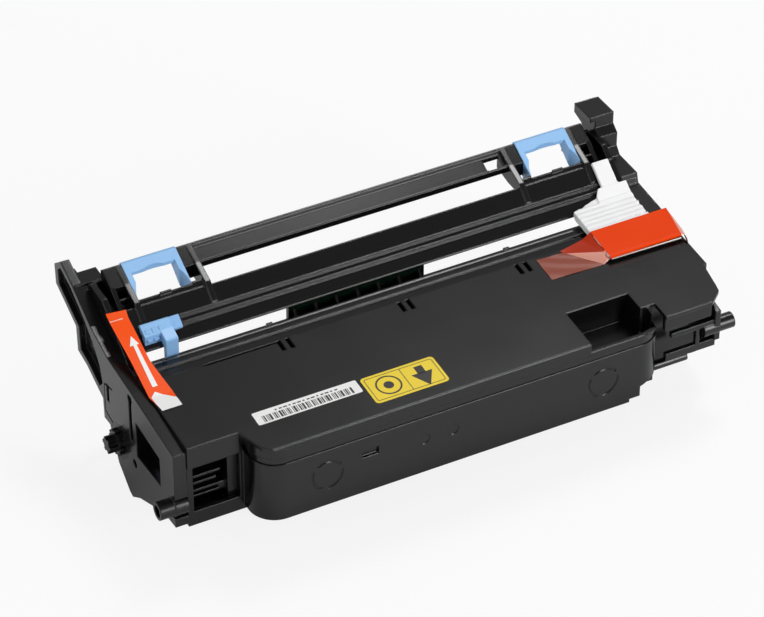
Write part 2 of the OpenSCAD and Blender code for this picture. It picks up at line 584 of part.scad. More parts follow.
// Cleaning blade, its steel bracket and the bracket's screws
blade_edge = drum_yz + polar(drum_r + blade_gap, blade_angle);
bracket_low = [67.8, 40.4];
bracket_bend = [66, 50];
lip_dir = (bracket_bend - bracket_low) / norm(bracket_bend - bracket_low);
lip_out = [lip_dir[1], -lip_dir[0]];
blade_t = 1.8;
screw_x = [for (k = [-2:2]) k * (blade_half - 11) / 2];
module blade_bracket() color("#b9bcc0") difference() {
    along(-blade_half - 1, blade_half + 1) polygon([[64.6, bracket_bend[1]], [64.6, 63], [66, 63], bracket_bend,
        bracket_low, bracket_low - 1.2 * lip_out]);
    blade_screw_places() cylinder(h = 10, r = screw_r);
}
module cleaning_blade() color("#b98a4a") along(-blade_half, blade_half)
    polygon([bracket_low, bracket_low + 5 * lip_dir, bracket_low + 5 * lip_dir + blade_t * lip_out, blade_edge,
        blade_edge - [blade_t, 0.3]]);
module blade_screw_places() for (x = screw_x) translate([x, 61.6, 56.5]) rotate([-90, 0, 0]) children();
module blade_screws() color("#a9acb0") blade_screw_places() {
    cylinder(h = 4.8, r = screw_r);
    translate([0, 0, 4.4]) cylinder(h = 1.8, r = 2.9);
}
// Thin film that closes the trough below the drum
module sweep_film() color("#30343a") along(-blade_half, blade_half)
    polygon([[60.5, box_low + 2.2], [67, box_low + 9.6], [67.4, box_low + 9.2], [61, box_low + 2]]);

// Charger: steel shield, etched grid, wire and the two end blocks that stretch it
module charger_shield() color("#c4c7cb") difference() {
    along(-shield_half, shield_half) at_charger() difference() {
        translate([-shield_w / 2 - sheet_t, shield_v]) square([shield_w + 2 * sheet_t, shield_h + sheet_t]);
        translate([-shield_w / 2, shield_v - 1]) square([shield_w, shield_h + 1]);
    }
    along(-shield_half + 1, shield_half - 1) at_charger() translate([-3, shield_v + shield_h - 1]) square([6, 4]);
}
grid_step = (shield_half - 28.5) / 2;
module charger_grid() color("#d3d5d8") difference() {
    along(-shield_half, shield_half) at_charger()
        translate([-shield_w / 2 - sheet_t, grid_v]) square([shield_w + 2 * sheet_t, grid_t]);
    for (s = [-4.4, -1.6, 1.2, 4]) for (k = [-2:2]) along((k - 0.5) * grid_step + 2, (k + 0.5) * grid_step - 2) at_charger()
        translate([s - 1, grid_v - 1]) square([2, 3]);
}
module charger_wire() color("#e0c070") along(-inner_x + side_t + 2, inner_x - side_t - 2) at_charger()
    translate([0, wire_v]) circle(0.15, $fn = 12);
module charger_end(x0, x1) difference() {
    along(x0, x1) at_charger() polygon([[-shield_w / 2, grid_v + 1], [-shield_w / 2, shield_v + shield_h],
        [-4, shield_v + shield_h + 6], [4, shield_v + shield_h + 6], [shield_w / 2, shield_v + shield_h],
        [shield_w / 2, grid_v + 1]]);
    along(x0 - 1, x1 + 1) at_charger() translate([0, wire_v]) circle(0.15, $fn = 12);
}
module left_wire_block() color("#e8e4d8") charger_end(-inner_x + side_t, -shield_half);
module right_wire_block() color("#e8e4d8") charger_end(shield_half, inner_x - side_t);

// Light-blue wire cleaner: a T on the rails, an arm down through the slit, a head round the wire
module cleaner_slider() color("#8fc2f0") {
    difference() {
        union() {
            along(slider_x[0], stem_x[1]) on_deck() polygon([[2.7, 0], [6, 5.3], [12.6, 4.3], [13.3, 3.5], [13.3, 0]]);
            along(stem_x[1] - 1, slider_x[1]) on_deck() polygon([[6.2, 0], [6.2, 2.6], [7, 3.2], [12.8, 3.2], [13.3, 2.6], [13.3, 0]]);
        }
        along(slider_x[0] - 1, slider_x[1] + 1) on_deck() {
            translate([0, -5]) square([20, 5.4 + slide_gap]);
            for (s = rail_s) translate([s - slide_gap, 0]) square([rail_w + 2 * slide_gap, 0.4 + rail_h + slide_gap]);
        }
    }
    along(stem_x[0], stem_x[1]) polygon([[arm_y[0], 73], [arm_y[0], 78.4], [arm_y[0] + 0.6, 79], [91, 81], up_deck(6.8, 2),
        up_deck(6.4, 0.4 + slide_gap), up_deck(0.6, 0.4 + slide_gap), [arm_y[1], 73]]);
    along(stem_x[0], stem_x[1]) polygon([[arm_y[0], 73.4], [arm_y[1], 73.4], [arm_y[1], 62], [98.6, 54.8], [96.8, 52.4], [arm_y[0], 60.6]]);
    along(stem_x[0] + 0.6, stem_x[1] - 0.6) at_charger() translate([-2, wire_v + 1.2]) square([4, shield_h * 0.45 + 4]);
}
module cleaner_pad() color("#e9e9e4") along(stem_x[0] + 1, stem_x[1] - 1) at_charger() difference() {
    translate([-1.6, wire_v - 1.6]) square([3.2, 2.8]);
    translate([0, wire_v]) circle(0.45, $fn = 16);
}

// Labels on the cover: a white one with a row of bars and a yellow one
module on_cover(x0, x1, y0, y1, t) along(x0, x1)
    polygon([[y0, cover_top(y0)], [y0, cover_top(y0) + t], [y1, cover_top(y1) + t], [y1, cover_top(y1)]]);
module bar_label() color("#f2f2f0") on_cover(-box_half + 8.8, -box_half + 64.6, 19, 27.2, 0.15);
module yellow_label() color("#f2d91c") on_cover(-box_half + 67, -box_half + 106.8, 7.6, 26.6, 0.15);

// Orange transit tape at the left: stuck to the cover and to the deck's upper edge, taut between
tape_t = 0.25;
tape_x = -inner_x - 0.6;
tape_w = 10;
tape_turn = 1.6;
tape_line = [[48, cover_top(48) + 0.03], [57, cover_top(57) + 0.03], [102, 85], [107, deck_b[1] + 0.6]];
module transit_tape() color("#f4511e") translate([tape_x, tape_line[3][0], 0]) rotate(tape_turn)
    translate([0, -tape_line[3][0], 0]) along(0, tape_w) polygon([for (p = tape_line) p,
        for (k = [3:-1:0]) tape_line[k] + [0, tape_t]]);

// White foam pad at the right end: a slab over cover, shelf and slit, and a tongue up the deck
foam_front = 49.3;
foam_low = cover_top(cover_rear_y) + 0.2;
foam_x = [inner_x - 34.6, inner_x + 8];
foam_plan = [[foam_x[0], foam_front], [foam_x[1], foam_front], [foam_x[1] + 0.8, 97], [inner_x - 0.2, 98.2],
    [inner_x - 5, 96], [inner_x - 16, 95], [inner_x - 18.6, 91.5], [foam_x[0], 86]];
function foam_top(y) = 74.4 + 0.08 * (y - foam_front);
module foam_pad() color("#f4f4f2") {
    difference() {
        intersection() {
            translate([0, 0, 60]) linear_extrude(40) polygon(foam_plan);
            along(foam_x[0] - 5, foam_x[1] + 5) polygon([[foam_front, cover_top(foam_front)], [foam_front, foam_top(foam_front)],
                [98.4, foam_top(98.4)], [98.4, 74], [92, foam_low + 1.4], [cover_rear_y, foam_low],
                [cover_rear_y, cover_top(cover_rear_y)]]);
        }
        for (k = [0:5]) along(foam_x[0] - 5, foam_x[1] + 5) translate([71 + k * 3.4, foam_top(71 + k * 3.4) + 0.3])
            circle(0.7, $fn = 16);
        along(foam_x[0] - 5, inner_x + 0.2) on_deck() translate([-3, -20]) square([40, 20.4 + rail_h]);
    }
    along(inner_x - 13.2, inner_x - 4.4) on_deck() polygon([[1, 0.4 + rail_h], [1, 5], [19, 5.6], [23, 4], [23, 0.4 + rail_h]]);
}
// Orange film folded over the front of the foam pad, and its clear tail on the cover
film_t = 0.25;
module orange_film() color("#e24a12") along(foam_x[0], foam_x[1]) polygon([[69.6, foam_top(69.6)], [69.6, foam_top(69.6) + film_t],
    [foam_front - film_t, foam_top(foam_front) + film_t], [foam_front - film_t, cover_top(foam_front - film_t)],
    [foam_front, cover_top(foam_front)], [foam_front, foam_top(foam_front)]]);
module film_tail() color("#c98a70") intersection() {
    translate([0, 0, 60]) linear_extrude(20) polygon([[foam_x[0] - 32.8, 50.8], [foam_x[0] - 30.8, 65.3], [foam_x[0] - 0.2, 69],
        [foam_x[0] - 0.2, 50.4]]);
    on_cover(foam_x[0] - 38, foam_x[0] + 2, 48, cover_rear_y - 1.2, 0.2);
}

seated() main_chassis();
seated() top_cover();
seated() left_end_plate();
seated() right_end_plate();
seated() upper_frame();
seated() rear_guide();
seated() left_grip();
seated() right_grip();
seated() drum_tube();
seated() drive_flange();
seated() gear_flange();
seated() drum_pin();
seated() drive_bush();
seated() idler_gear();
seated() idler_pin();
seated() waste_auger();
seated() blade_bracket();
seated() cleaning_blade();
seated() blade_screws();
seated() sweep_film();
seated() charger_shield();
seated() charger_grid();
seated() charger_wire();
seated() left_wire_block();
seated() right_wire_block();
seated() cleaner_slider();
seated() cleaner_pad();
seated() bar_label();
seated() yellow_label();
seated() transit_tape();
seated() foam_pad();
seated() orange_film();
seated() film_tail();
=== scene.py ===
# %% [markdown]
# The printer drum unit, dressed for its picture.
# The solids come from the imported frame: mouldings, drum, gears, charger and grips, at real size.
# This lesson gives them finishes and adds what is thin, soft or printed: labels, tape, film, foam
# and raised marks. Every new piece rides on the body that carries it.

# %% Load the frame
import math

import bmesh
import bpy
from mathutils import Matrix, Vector


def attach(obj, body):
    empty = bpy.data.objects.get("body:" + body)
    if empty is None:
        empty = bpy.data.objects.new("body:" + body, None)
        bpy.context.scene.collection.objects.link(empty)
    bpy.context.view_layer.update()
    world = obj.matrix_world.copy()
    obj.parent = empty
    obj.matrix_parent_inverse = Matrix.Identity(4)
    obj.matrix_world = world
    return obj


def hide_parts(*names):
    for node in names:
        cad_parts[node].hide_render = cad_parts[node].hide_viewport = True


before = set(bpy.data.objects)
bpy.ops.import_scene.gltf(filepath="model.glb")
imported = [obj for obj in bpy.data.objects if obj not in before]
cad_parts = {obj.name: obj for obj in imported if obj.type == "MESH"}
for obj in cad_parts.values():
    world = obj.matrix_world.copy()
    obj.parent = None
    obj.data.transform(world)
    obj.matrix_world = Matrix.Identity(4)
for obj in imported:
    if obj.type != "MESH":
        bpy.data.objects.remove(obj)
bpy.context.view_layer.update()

# %% [markdown]
# Every length below is in millimetres, laid out as the drum unit's own drawing is: X from the middle
# of the drum, Y from the front face of the waste chamber, Z from the table. One function turns such a
# place into the frame's metres, so each number can be read against the part's own sizes.

# %% Places in millimetres
MM = 0.001
MID_X = -1.5
MID_Y = 77.75
COVER_Z = 66.4
COVER_SLOPE = 0.06


def place(x, y, z):
    """A point of the drawing, in metres in the frame."""
    return Vector(((x - MID_X) * MM, (y - MID_Y) * MM, z * MM))


def cover_top(y):
    """Height of the cover's top face at a depth y, in millimetres."""
    return COVER_Z + COVER_SLOPE * y


print("cover's front edge at", cover_top(0), "mm, its rear edge at", round(cover_top(70), 1), "mm")

# %% [markdown]
# The camera stands where the photographer's stood: to the left of the unit, well above it, with a
# long lens, so the edges along the drum stay nearly parallel. Azimuth and elevation are the angles
# at which straight edges of the model fall on those of the photograph.

# %% Camera
AZIMUTH = -27.5
ELEVATION = 38.0
FOCAL_PX = 3750.0
FRAME_PX = 764
SENSOR_MM = 36.0
CAMERA_AT = (-691.2, -1236.8, 1219.8)

bpy.ops.object.select_all(action="DESELECT")
bpy.ops.object.camera_add(
    location=place(*CAMERA_AT),
    rotation=(math.radians(90 - ELEVATION), 0, math.radians(AZIMUTH)),
)
camera = bpy.context.object
camera.name = "camera"
camera.data.sensor_width = SENSOR_MM
camera.data.lens = FOCAL_PX / FRAME_PX * SENSOR_MM
camera.data.clip_end = 50
bpy.context.scene.camera = camera
print("lens:", round(camera.data.lens, 1), "mm")

# %% [markdown]
# A small kit for materials. Colours are written as sRGB hex values, as a colour picker gives them, and
# one function turns them to the linear values that shaders need. Another adds a node, sets it and
# links it. The grain function carries what all the moulded, coated and woven finishes here share: a
# fine uneven surface, edges that look rounded, and gloss that varies from patch to patch.

# %% Material kit
def linear(hex_color):
    """An sRGB hex colour as linear RGBA."""
    raw = [int(hex_color[i : i + 2], 16) / 255 for i in (1, 3, 5)]
    return [c / 12.92 if c <= 0.04045 else ((c + 0.055) / 1.055) ** 2.4 for c in raw] + [1.0]


def add(tree, kind, links=(), **settings):
    """Add a shader node, set its properties and sockets, link (socket, source) pairs into it."""
    node = tree.nodes.new(kind)
    for key, value in settings.items():
        if hasattr(node, key):
            setattr(node, key, value)
        else:
            node.inputs[key.replace("_", " ")].default_value = value
    for socket, source in links:
        tree.links.new(source, node.inputs[socket])
    return node


def material(name, color, roughness, metallic=0.0):
    """A named material with a Principled shader; returns it with its tree and shader."""
    mat = bpy.data.materials.new(name)
    mat.use_nodes = True
    tree = mat.node_tree
    shader = tree.nodes["Principled BSDF"]
    shader.inputs["Base Color"].default_value = linear(color)
    shader.inputs["Roughness"].default_value = roughness
    shader.inputs["Metallic"].default_value = metallic
    return mat, tree, shader


def under_skin(shader, weight, radius):
    """Let a little light pass under the surface, as deep as radius in metres for red, green, blue."""
    shader.inputs["Subsurface Weight"].default_value = weight
    shader.inputs["Subsurface Radius"].default_value = radius


GRAIN_STRENGTH = 0.35
PATCH_SCALE = 30.0  # gloss varies over patches of about 33 mm


def grain(tree, shader, grain_mm, depth_mm, edge_mm=0.0, spread=0.0):
    """Fine grain as bump, on edges that look rounded by edge_mm; spread varies the gloss."""
    coords = add(tree, "ShaderNodeTexCoord")
    noise = add(
        tree,
        "ShaderNodeTexNoise",
        [("Vector", coords.outputs["Object"])],
        Scale=1 / (grain_mm * MM),
        Detail=3.0,
    )
    bump = add(
        tree,
        "ShaderNodeBump",
        [("Height", noise.outputs["Fac"])],
        Strength=GRAIN_STRENGTH,
        Distance=depth_mm * MM,
    )
    if edge_mm:
        rounded = add(tree, "ShaderNodeBevel", samples=6, Radius=edge_mm * MM)
        tree.links.new(rounded.outputs["Normal"], bump.inputs["Normal"])
    tree.links.new(bump.outputs["Normal"], shader.inputs["Normal"])
    if spread:
        base = shader.inputs["Roughness"].default_value
        patches = add(
            tree,
            "ShaderNodeTexNoise",
            [("Vector", coords.outputs["Object"])],
            Scale=PATCH_SCALE,
            Detail=4.0,
        )
        gloss = add(
            tree,
            "ShaderNodeMapRange",
            [("Value", patches.outputs["Fac"])],
            To_Min=base - spread,
            To_Max=base + spread,
        )
        tree.links.new(gloss.outputs["Result"], shader.inputs["Roughness"])


def dress(mat, *nodes):
    """Give CAD nodes this material."""
    for name in nodes:
        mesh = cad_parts[name].data
        mesh.materials.clear()
        mesh.materials.append(mat)


print("black as linear:", [round(c, 4) for c in linear("#0b0b0c")[:3]])

# %% [markdown]
# The mouldings are flame-retardant ABS: near black, with a fine spark-eroded grain that leaves a satin
# sheen. Their edges are broken by about half a millimetre, and in the photograph each is a thin pale
# line. A bevel node turns the normals near an edge, so that it catches the lamps here too. It is set
# to a millimetre, wider than the real edge, because half a millimetre is less than a pixel.

# %% Black mouldings
EDGE_MM = 1.0
abs_black, tree, shader = material("black_abs_satin", "#0b0b0c", 0.2)
grain(tree, shader, 0.35, 0.003, edge_mm=EDGE_MM, spread=0.03)
dress(abs_black, "main_chassis", "upper_frame", "rear_guide")

abs_cover, tree, shader = material("black_abs_cover", "#0d0d0e", 0.23)
grain(tree, shader, 0.3, 0.003, edge_mm=EDGE_MM, spread=0.03)
dress(abs_cover, "top_cover")

abs_plate, tree, shader = material("black_abs_end_plate", "#101012", 0.22)
grain(tree, shader, 0.3, 0.003, edge_mm=EDGE_MM, spread=0.03)
dress(abs_plate, "left_end_plate", "right_end_plate")

abs_relief, tree, shader = material("black_abs_relief", "#050506", 0.24)
grain(tree, shader, 0.3, 0.003, edge_mm=0.1)
print("black mouldings dressed, roughness 0.2 to 0.24")

# %% [markdown]
# What the hand touches is light blue: the two grips and the wire cleaner, moulded in smooth dyed
# ABS. A little light passes under its skin, which keeps its shaded sides blue instead of grey.

# %% Light-blue touch points
abs_blue, tree, shader = material("light_blue_abs", "#93c3f2", 0.36)
under_skin(shader, 0.1, (0.002, 0.002, 0.003))
grain(tree, shader, 0.5, 0.01, edge_mm=0.4, spread=0.03)
dress(abs_blue, "left_grip", "right_grip", "cleaner_slider")
print("touch points dressed")

# %% [markdown]
# Inside, the drum is an aluminium tube with a thin glossy green photoconductor coat. Its drive flange
# and bush are black acetal; gears, auger and wire blocks are white acetal. Shield, grid, bracket,
# screws and pins are steel, the charger wire is gold-plated, and the blade is amber polyurethane.

# %% Working parts
coat, tree, shader = material("organic_photoconductor_coat", "#2f7a52", 0.12)
shader.inputs["Coat Weight"].default_value = 0.6
grain(tree, shader, 2.0, 0.002)
dress(coat, "drum_tube")

flange_black, tree, shader = material("black_acetal", "#0e0e0f", 0.3)
grain(tree, shader, 0.4, 0.006, edge_mm=0.3)
dress(flange_black, "drive_flange", "drive_bush")

acetal, tree, shader = material("white_acetal", "#e6e3d8", 0.35)
grain(tree, shader, 0.4, 0.006, edge_mm=0.25)
dress(acetal, "gear_flange", "idler_gear", "waste_auger", "left_wire_block", "right_wire_block")

steel, tree, shader = material("bright_sheet_steel", "#b9bcc1", 0.28, metallic=1.0)
grain(tree, shader, 0.6, 0.001, edge_mm=0.15, spread=0.02)
dress(steel, "drum_pin", "idler_pin", "blade_bracket", "blade_screws")
dress(steel, "charger_shield", "charger_grid")

gold_wire, tree, shader = material("gold_plated_tungsten", "#d9a441", 0.2, metallic=1.0)
dress(gold_wire, "charger_wire")

urethane, tree, shader = material("amber_polyurethane", "#a8722c", 0.4)
under_skin(shader, 0.3, (0.003, 0.002, 0.001))
grain(tree, shader, 0.5, 0.01)
dress(urethane, "cleaning_blade")

felt, tree, shader = material("white_felt", "#deddd2", 0.95)
shader.inputs["Sheen Weight"].default_value = 0.5
grain(tree, shader, 0.25, 0.08)
dress(felt, "cleaner_pad")

film_dark, tree, shader = material("polyester_film_dark", "#14161a", 0.2)
grain(tree, shader, 1.5, 0.004)
dress(film_dark, "sweep_film")
print("working parts dressed")

# %% [markdown]
# Labels, tape and film have finishes of their own: coated paper, dyed vinyl, printing ink, and orange
# polyester, which lets a part of the light through where it lies in a single layer. The film's bump
# is coarse, 5 to 14 mm, because what shows on it are the waves of a film that was folded once. Two
# pale materials among them are painted highlights: one for lit creases, one for the film's lip.

# %% Paper, film and foam
paper_white, tree, shader = material("coated_paper_white", "#f4f4f3", 0.45)
grain(tree, shader, 0.2, 0.004)

vinyl_yellow, tree, shader = material("vinyl_yellow", "#f2d414", 0.35)
grain(tree, shader, 0.2, 0.003)

ink, tree, shader = material("printing_ink_black", "#1d1a14", 0.5)
grain(tree, shader, 0.2, 0.003)

tape_orange, tree, shader = material("orange_polyester_tape", "#ff5610", 0.36)
shader.inputs["Specular IOR Level"].default_value = 0.1
grain(tree, shader, 9.0, 0.12)

film_orange, tree, shader = material("orange_polyester_film", "#ee4200", 0.36)
shader.inputs["Specular IOR Level"].default_value = 0.06
grain(tree, shader, 14.0, 0.15)

film_over_black, tree, shader = material("orange_film_over_black", "#c23000", 0.25)
shader.inputs["Alpha"].default_value = 0.86
grain(tree, shader, 8.0, 0.1)

film_single, tree, shader = material("orange_film_single_layer", "#9c4c38", 0.3)
shader.inputs["Alpha"].default_value = 0.8
grain(tree, shader, 10.0, 0.1)

# Painted highlight: a pale pink copy of the film, for creases and edges that catch the light.
film_painted_highlight, tree, shader = material("orange_film_painted_highlight", "#eda694", 0.25)
shader.inputs["Alpha"].default_value = 0.92
grain(tree, shader, 5.0, 0.15)

# Painted highlight: the near-white colour of the film's turned-under lip.
film_lip_highlight, tree, shader = material("film_lip_painted_highlight", "#d9cfcd", 0.35)
grain(tree, shader, 3.0, 0.05)

foam_white, tree, shader = material("polyethylene_foam_white", "#f6f6f7", 0.75)
under_skin(shader, 0.3, (0.003, 0.003, 0.003))
grain(tree, shader, 0.9, 0.12)
print("materials in all:", len(bpy.data.materials))

# %% [markdown]
# The new pieces start from primitives. These helpers are the hand's habits in code: select one thing
# only, write its place into its mesh, open it for editing, pick parts by where they lie, cut by a
# plane. A thin sheet starts as a flat grid, whose corners a function then brings to their places.

# %% Modelling helpers
def only(piece):
    """Select one object and make it the active one."""
    bpy.ops.object.select_all(action="DESELECT")
    piece.select_set(True)
    bpy.context.view_layer.objects.active = piece


def settle(piece, name):
    """Write place, turn and size into the mesh, so that the object sits at the origin."""
    only(piece)
    bpy.ops.object.transform_apply(location=True, rotation=True, scale=True)
    piece.name = name
    return piece


def box(name, low, high):
    """A cube primitive between two corners of the drawing."""
    bpy.ops.object.select_all(action="DESELECT")
    middle = [(a + b) / 2 for a, b in zip(low, high)]
    bpy.ops.mesh.primitive_cube_add(size=1.0, location=place(*middle))
    piece = bpy.context.object
    piece.scale = [(b - a) * MM for a, b in zip(low, high)]
    return settle(piece, name)


def pick(piece, kind, test):
    """Open the mesh and select vertices, edges or faces by their place in the drawing."""
    only(piece)
    bpy.ops.object.mode_set(mode="EDIT")
    bpy.ops.mesh.select_mode(type=kind)
    bpy.ops.mesh.select_all(action="DESELECT")
    mesh = bmesh.from_edit_mesh(piece.data)
    for part in {"VERT": mesh.verts, "EDGE": mesh.edges, "FACE": mesh.faces}[kind]:
        corners = [part] if kind == "VERT" else part.verts
        middle = sum((corner.co for corner in corners), Vector()) / len(corners)
        if test(middle.x / MM + MID_X, middle.y / MM + MID_Y, middle.z / MM):
            part.select_set(True)
    mesh.select_flush_mode()
    bmesh.update_edit_mesh(piece.data)


def trim(piece, at, normal):
    """Cut a piece by a plane, drop what lies on the normal's side and close the cut."""
    only(piece)
    bpy.ops.object.mode_set(mode="EDIT")
    bpy.ops.mesh.select_all(action="SELECT")
    bpy.ops.mesh.bisect(
        plane_co=place(*at),
        plane_no=normal,
        use_fill=True,
        clear_outer=True,
        threshold=1e-7,
    )
    bpy.ops.object.mode_set(mode="OBJECT")


def apply(piece, kind, **settings):
    """Add a modifier, set it and apply it."""
    only(piece)
    modifier = piece.modifiers.new(kind.lower(), kind)
    for key, value in settings.items():
        setattr(modifier, key, value)
    bpy.ops.object.modifier_apply(modifier=modifier.name)


def joined(name, pieces):
    """Join finished parts into one piece."""
    bpy.ops.object.select_all(action="DESELECT")
    for part in pieces:
        part.select_set(True)
    bpy.context.view_layer.objects.active = pieces[0]
    bpy.ops.object.join()
    pieces[0].name = name
    return pieces[0]


def finish(piece, mat, replaced="", body="housing"):
    """Give a piece its material and its body, and hide the solid that it replaces."""
    piece.data.materials.clear()
    piece.data.materials.append(mat)
    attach(piece, body)
    if replaced:
        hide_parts(replaced)
    print(piece.name, len(piece.data.polygons), "faces")


def part_way(a, b, t):
    """The point at the share t between two points."""
    return tuple(p + (q - p) * t for p, q in zip(a, b))


def on_line(points, t):
    """The point at the share t along a chain of points, each leg an equal share."""
    leg = min(int(t * (len(points) - 1)), len(points) - 2)
    return part_way(points[leg], points[leg + 1], t * (len(points) - 1) - leg)


def thin_sheet(name, across, along, point, thickness=0.08):
    """A grid primitive brought to point(u, v) of the drawing, then given its thickness."""
    bpy.ops.object.select_all(action="DESELECT")
    bpy.ops.mesh.primitive_grid_add(x_subdivisions=across, y_subdivisions=along, size=1.0)
    piece = bpy.context.object
    for vertex in piece.data.vertices:
        vertex.co = place(*point(vertex.co.x + 0.5, vertex.co.y + 0.5))
    apply(piece, "WELD", merge_threshold=1e-6)
    apply(piece, "SOLIDIFY", thickness=thickness * MM, offset=1.0)
    bpy.ops.object.shade_smooth_by_angle(angle=math.radians(40))
    piece.name = name
    return piece


print("solids before the new pieces:", len(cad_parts))

# %% [markdown]
# The foam pad is white polyethylene foam: a ribbed slab that lies over the cover, the shelf and the
# slit, and a tongue that climbs the rail deck. Four blocks give it its plan, a voxel remesh makes one
# skin of them, and smoothing rounds it as foam is round. The ribs are pressed into it afterwards.

# %% Foam pad
DECK_FOOT = (88.0, 72.4)
DECK_ANGLE = math.atan2(13.8, 18.8)
UNDER_DECK = (0, 0.592, -0.806)
FOAM_ENDS = (50.4, 97.4)
FOAM_LOW, FOAM_MID = 69.6, 76.0


def foam_top(y):
    """Height of the foam's upper face at a depth y."""
    return FOAM_MID + 0.1 * (y - 80)


def deck_block(name, xs, up, off):
    """A block on the sloping deck: up runs up the deck, off stands off it."""
    piece = box(name, (xs[0], up[0], off[0]), (xs[1], up[1], off[1]))
    piece.location = -place(0, 0, 0)
    settle(piece, name)
    piece.rotation_euler.x = DECK_ANGLE
    piece.location = place(0, *DECK_FOOT)
    return settle(piece, name)


def foam_slab(name, xs):
    """A block whose upper and lower faces follow the foam's slope."""
    front, rear = FOAM_ENDS
    piece = box(name, (xs[0], front, FOAM_LOW), (xs[1], rear, FOAM_MID))
    for at_front, at_top, rise in (
        (True, True, foam_top(front) - FOAM_MID),
        (False, True, foam_top(rear) - FOAM_MID),
        (False, False, 3.3),
    ):
        pick(piece, "VERT", lambda x, y, z: (y < 60) == at_front and (z > 72) == at_top)
        bpy.ops.transform.translate(value=(0, 0, rise * MM))
        bpy.ops.object.mode_set(mode="OBJECT")
    return piece


inner_slab = foam_slab("foam_pad", (108.4, 143.1))
trim(inner_slab, (108.4, 87.0, 70), (-0.27, 0.963, 0))
trim(inner_slab, (0, DECK_FOOT[0], DECK_FOOT[1] + 1.9), UNDER_DECK)
outer_slab = foam_slab("foam_outer", (142.6, 153.2))
trim(outer_slab, (151.6, FOAM_ENDS[1], 75), (0.94, 0.35, 0))
root = deck_block("foam_root", (124.0, 143.2), (1.5, 9.6), (1.55, 4.2))
trim(root, (124.8, 91.6, 75), (-0.774, 0.633, 0))
tongue = deck_block("foam_tongue", (129.0, 138.5), (3.0, 23.6), (1.55, 3.7))
foam = joined("foam_pad", [inner_slab, outer_slab, root, tongue])
trim(foam, (120, 56.0, 69.9), (0, -0.3, -0.954))
print("foam blocks joined:", len(foam.data.polygons), "faces")

# %% [markdown]
# The pad's ribs are six lines pressed 0.6 mm deep across its top. The voxels are 0.5 mm, finer than
# the ribs and coarser than the foam's own cells.

# %% Skin and ribs of the foam
RIB_FRONT, RIB_STEP, RIBS = 72.4, 3.2, 6
RIB_DEPTH = 0.6
apply(foam, "REMESH", mode="VOXEL", voxel_size=0.5 * MM)
apply(foam, "SMOOTH", factor=0.5, iterations=5)
for k in range(RIBS):
    rib = RIB_FRONT + RIB_STEP * k
    pick(
        foam,
        "VERT",
        lambda x, y, z: abs(y - rib) < 0.5 and z > foam_top(y) - 0.9 and 109.2 < x < 151.0,
    )
    bpy.ops.transform.translate(value=(0, 0, -RIB_DEPTH * MM))
    bpy.ops.object.mode_set(mode="OBJECT")
apply(foam, "SMOOTH", factor=0.4, iterations=1)
bpy.ops.object.shade_smooth()
finish(foam, foam_white, "foam_pad")

# %% [markdown]
# Orange polyester film lies over the front of the foam. Its front edge is turned under, its right
# edge wraps over the foam's corner, and its left end is drawn out into a tail on the cover.

# %% Orange film on the foam
FILM = (49.0, 69.9)
FILM_LEFT = 108.5
HEM = 0.06  # share of the film's depth that is turned under


def film_right(y):
    """Right edge of the film's flat part."""
    return 150.2 + 3.2 * (y - FILM[0]) / (FILM[1] - FILM[0])


def film_point(u, v):
    """The flat part from left to right, with its front edge turned under."""
    fold = max(0.0, 2 * HEM - v) / (2 * HEM)
    y = FILM[0] + (FILM[1] - FILM[0]) * max(0.0, v - HEM) / (1 - HEM)
    wave = 0.12 * math.sin(7 * u) * math.sin(3.1 * v)
    x = FILM_LEFT + (film_right(y) - FILM_LEFT) * u
    under = 0.5 * fold * fold if v < HEM else 0
    return x, y + under, foam_top(y) + 0.2 + wave - 1.3 * fold**1.6


finish(thin_sheet("orange_film", 40, 32, film_point, 0.15), film_orange, "orange_film")

# %% [markdown]
# The film's right edge is a clear rim that goes down over the corner, deepest at the front. Under its
# front edge the turned-under end shows as a pale double line. Each is a narrow sheet of its own, and
# both are coloured pale pink and near white: painted highlight, not the film's own orange.

# %% Rim and lip of the film
WRAP_DEPTH = 20.0
WRAP_OUT = 154.3


def wrap_point(u, v):
    """From the flat part's right edge over the corner and down."""
    y = FILM[0] + WRAP_DEPTH * v
    drop = 0.6 + 8.5 * (1 - v) ** 3
    out = WRAP_OUT - film_right(y) - 1.4 * v
    turn = u * math.pi / 2
    x = film_right(y) + out * math.sin(turn)
    z = foam_top(y) + 0.3 - drop * (1 - math.cos(turn)) + 0.3 * math.sin(9 * v) * u
    return x, y - 0.8 * u * (1 - v), z


def lip_point(u, v):
    """The turned-under edge just under the film's front edge, pale with painted highlight."""
    x, y, z = part_way((109.4, 49.5, 71.2), (149.6, 48.4, 71.4), u)
    return x, y - 0.5 * math.sin(math.pi * v), z + 0.55 * v


finish(thin_sheet("film_wrap", 14, 24, wrap_point, 0.08), film_painted_highlight)
finish(thin_sheet("film_lip_highlight", 30, 6, lip_point, 0.1), film_lip_highlight)

# %% [markdown]
# The tail is one layer of the same film. It lies flat on the cover, rises in a crease that is a
# flat cone, climbs to the foam's left edge and is gathered at the foam's front corner. Four sheets
# share their edges. The tail and the climb take the tint that the black cover behind them gives;
# the crease and the gathered end are pale pink, a painted highlight.

# %% Film tail on the cover
APEX = (91.5, 65.2, cover_top(65.2) + 0.25)
CREASE_FOOT = (105.0, 49.3, cover_top(49.3) + 0.2)
CREASE_TOP = (107.4, 54.2, 73.5)


def tail_point(u, v):
    """The single layer that lies on the cover, from its left end to the crease."""
    low = part_way((75.2, 50.2, 0), CREASE_FOOT, v)
    high = part_way((75.5, 66.9, 0), (91.2, 66.2, 0), v)
    x, y, _ = part_way(low, high, u)
    lift = 0.25 + 0.15 * math.sin(5 * u + 4 * v) ** 2
    return x, y, cover_top(y) + lift


